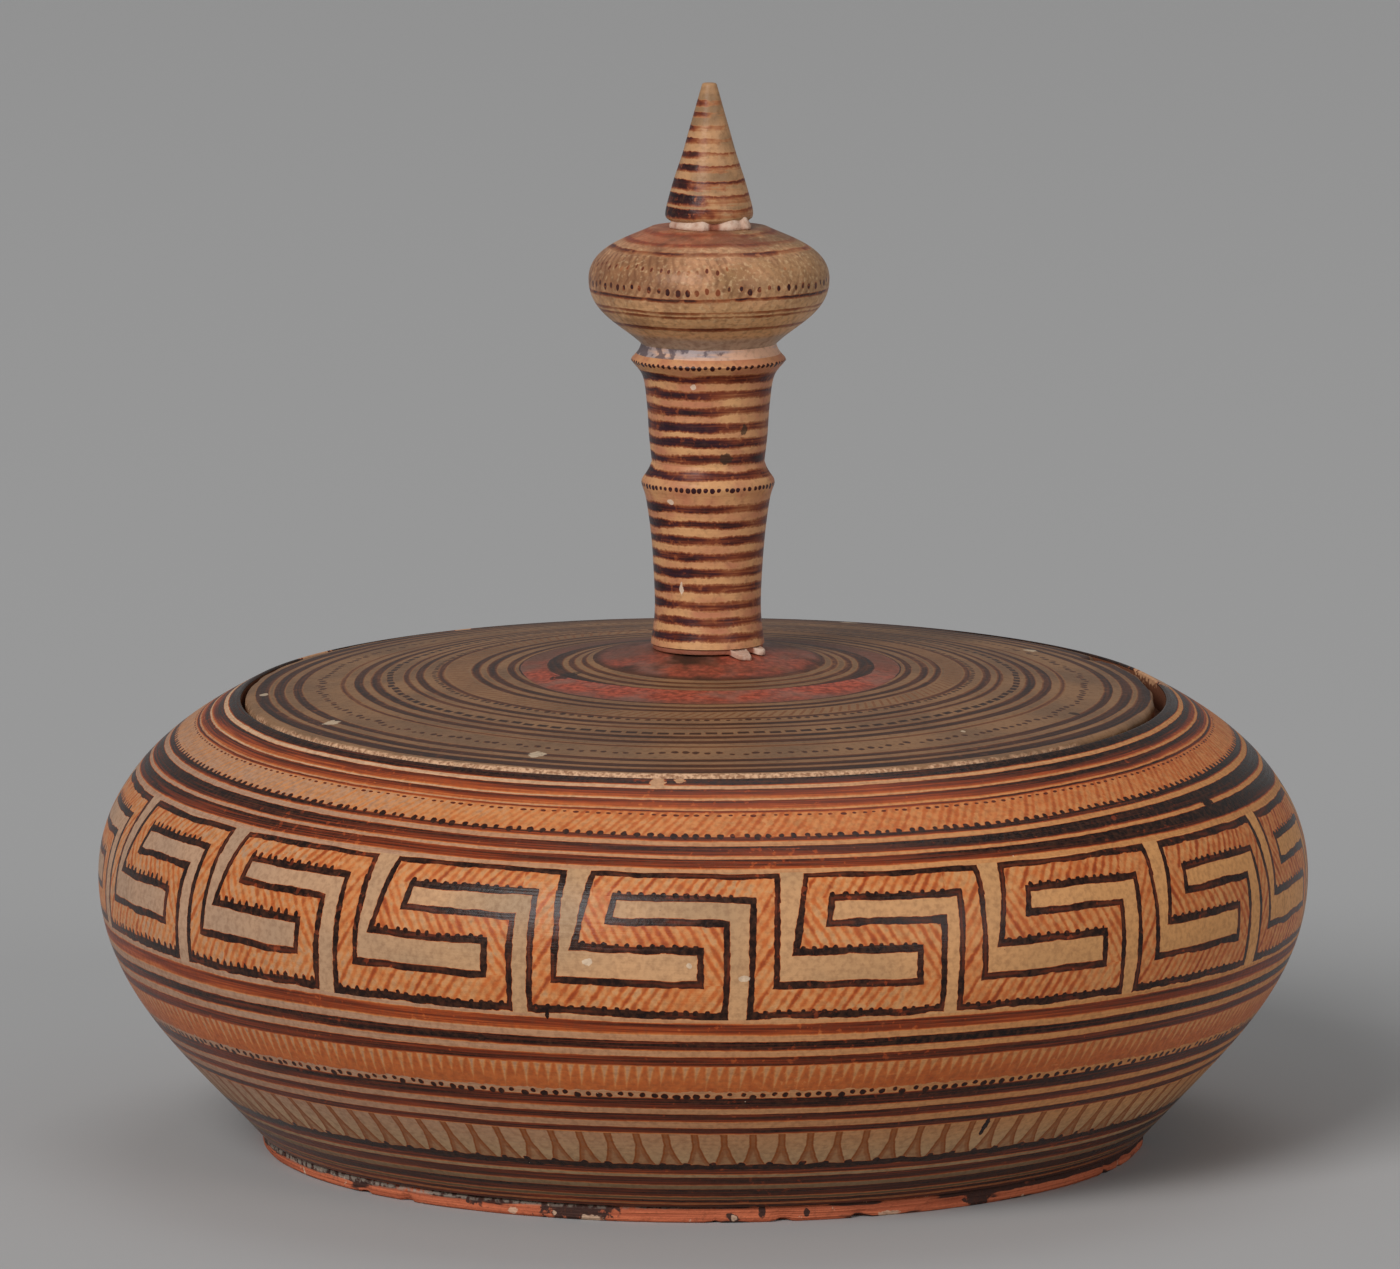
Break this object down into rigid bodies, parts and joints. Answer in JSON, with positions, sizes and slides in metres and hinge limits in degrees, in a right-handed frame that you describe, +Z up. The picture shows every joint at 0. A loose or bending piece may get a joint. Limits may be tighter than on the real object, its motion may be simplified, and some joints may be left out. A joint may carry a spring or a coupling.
{
  "type": "pyxis",
  "caption": "Squat round lidded box in slip-painted clay: inturned bowl on a low ring foot, low conical lid inset in its mouth, lifted off by a tall turned knob.",
  "frame": {"origin": "centre of the foot's resting face, at the bottom of the vessel's axis", "axes": "+Z up along the axis that the vessel was thrown about; +X to the right and -Y towards the viewer"},
  "size_m": [0.26, 0.26, 0.2279],
  "materials": {
    "painted_bowl": "tan clay with red-brown and black painted bands, a soft gloss",
    "foot_clay": "bare orange-red clay, matt and worn",
    "painted_lid": "grey-tan clay with dark brown painted rings, dull gloss",
    "bare_clay": "bare tan clay, matt, with throwing marks",
    "painted_knob": "tan clay with dark brown painted rings, a soft gloss",
    "plaster": "off-white repair plaster, matt and rough"
  },
  "bodies": {
    "vessel": {"bowl": "painted_bowl", "foot_ring": "foot_clay"},
    "lid": {"lid_plate": "painted_lid", "lid_flange": "bare_clay", "stem_fill": "plaster", "lower_stem": "painted_knob", "upper_stem": "painted_knob", "knob_bulb": "painted_knob", "finial_fill": "plaster", "finial_cone": "painted_knob"}
  },
  "joints": [
    {"name": "lid_lift", "type": "slide", "parent": "vessel", "child": "lid", "axis": [0, 0, 1], "range_m": [0, 0.12]}
  ]
}
